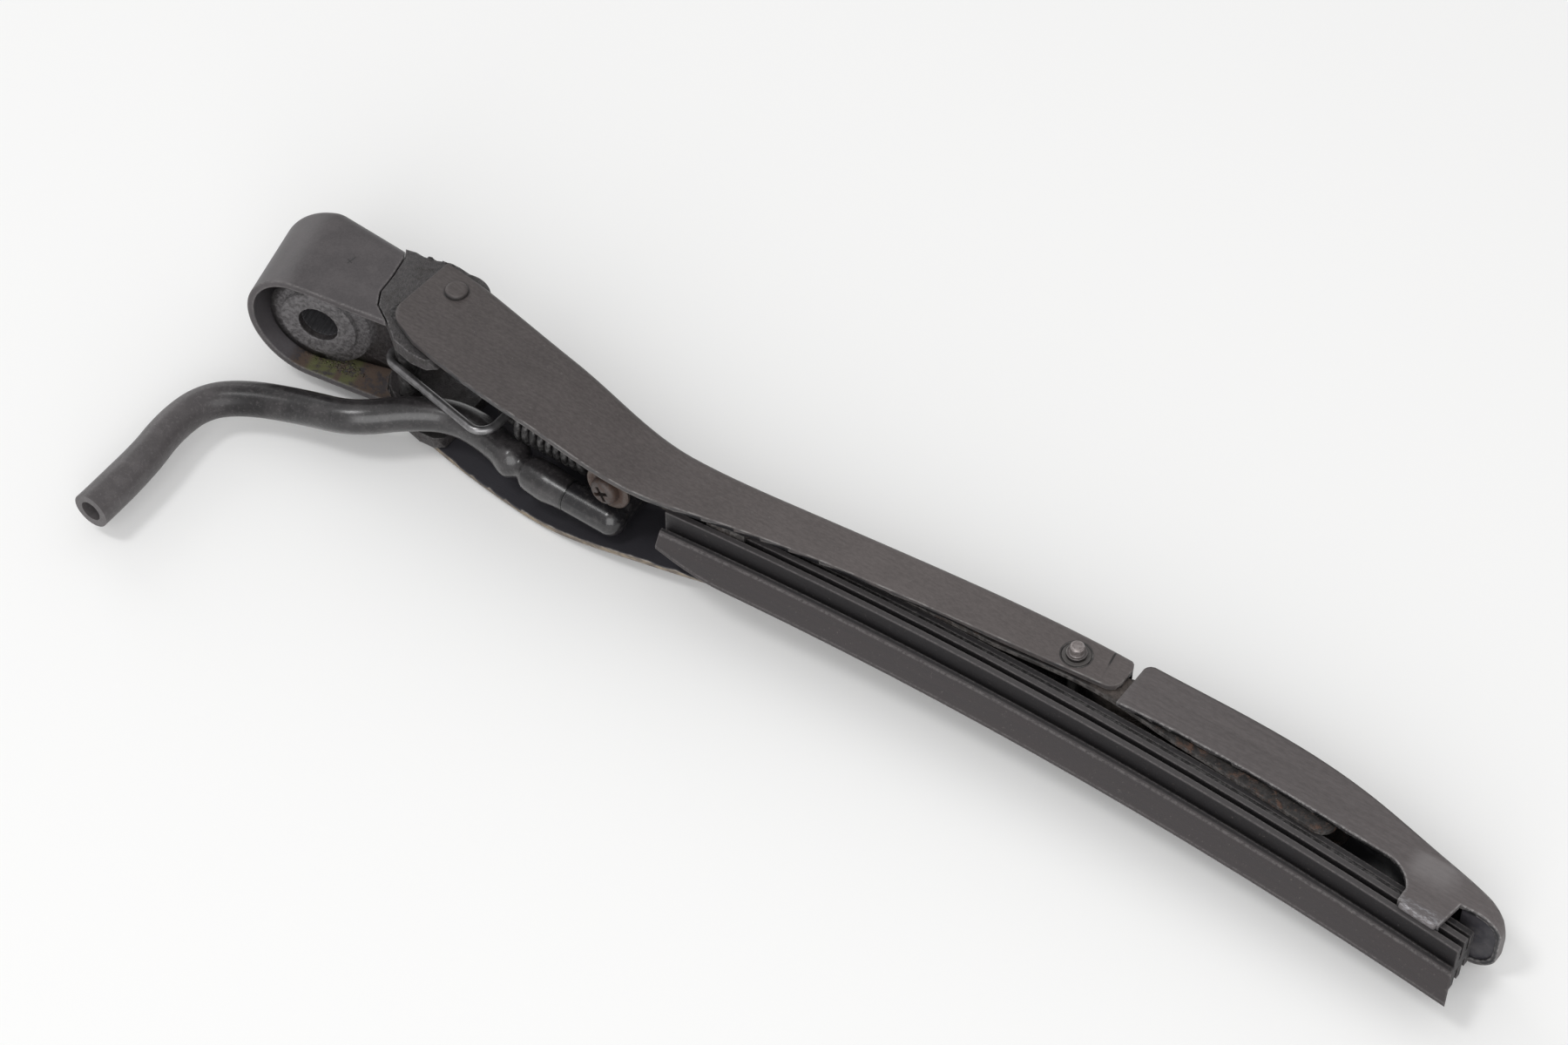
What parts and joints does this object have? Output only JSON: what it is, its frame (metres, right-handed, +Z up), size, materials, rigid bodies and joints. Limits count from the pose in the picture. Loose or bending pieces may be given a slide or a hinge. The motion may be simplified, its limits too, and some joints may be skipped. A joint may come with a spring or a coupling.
{
  "type": "wiper arm",
  "caption": "small sprung wiper arm with its blade: bored head under a flip-up cap, folded channel arm on a hinge, washer jet with hose, and a rocking rubber blade",
  "frame": {"origin": "the mouth of the spindle bore in the head, on the bore's axis", "axes": "+X along the arm from the bore to the blade's tip, +Y along the spindle away from the glass, +Z up across the arm as it lies on its side"},
  "size_m": [0.239, 0.0886, 0.0256],
  "materials": {
    "arm_paint": "satin black paint, scuffed, edges worn bright",
    "blade_paint": "black paint worn through at the edges, rust spots",
    "cap_plastic": "smooth satin charcoal plastic",
    "head_metal": "rough cast metal with dark coating worn thin",
    "bare_steel": "bare steel, dulled, a little rust",
    "dark_steel": "dark phosphated steel",
    "jet_plastic": "glossy black plastic",
    "hose_rubber": "matt black hose",
    "blade_rubber": "aged dusty rubber"
  },
  "bodies": {
    "head": {"head_casting": "head_metal", "head_pin": "dark_steel"},
    "cap": {"head_cap": "cap_plastic"},
    "arm": {"arm_channel": "arm_paint", "hinge_rivet_upper": "arm_paint", "hinge_rivet_lower": "arm_paint", "spring_post": "dark_steel", "washer_jet": "jet_plastic", "jet_screw": "bare_steel", "jet_washer": "bare_steel", "washer_hose": "hose_rubber", "pivot_bush_upper": "arm_paint", "pivot_bush_lower": "arm_paint", "blade_pivot_pin": "bare_steel"},
    "link": {"spring_link": "dark_steel", "tension_spring": "dark_steel"},
    "blade": {"blade_yoke": "blade_paint", "blade_tip_shell": "blade_paint", "yoke_rivet_inner": "blade_paint", "yoke_rivet_outer": "blade_paint", "rubber_element": "blade_rubber", "rail_upper": "bare_steel", "rail_lower": "bare_steel"}
  },
  "joints": [
    {"name": "arm_hinge", "type": "hinge", "parent": "head", "child": "arm", "pos_m": [0.0244, 0.0034, 0], "axis": [0, 0, 1], "range_deg": [0, 60], "stiffness_Nm_per_rad": 0.1, "springref_deg": -22.92},
    {"name": "link_pivot", "type": "hinge", "parent": "head", "child": "link", "pos_m": [0.0172, -0.0028, 0], "axis": [0, 0, 1], "range_deg": [0, 50.5], "deforming": ["tension_spring"]},
    {"name": "cap_hinge", "type": "hinge", "parent": "head", "child": "cap", "pos_m": [0.0094, 0.0102, 0], "axis": [0, 0, -1], "range_deg": [0, 60]},
    {"name": "blade_pivot", "type": "hinge", "parent": "arm", "child": "blade", "pos_m": [0.14162, -0.03218, 0], "axis": [0, 0, 1], "range_deg": [-0.5, 8]}
  ],
  "couplings": [
    {"joint": "link_pivot", "follows": "arm_hinge", "ratio": 0.83}
  ]
}
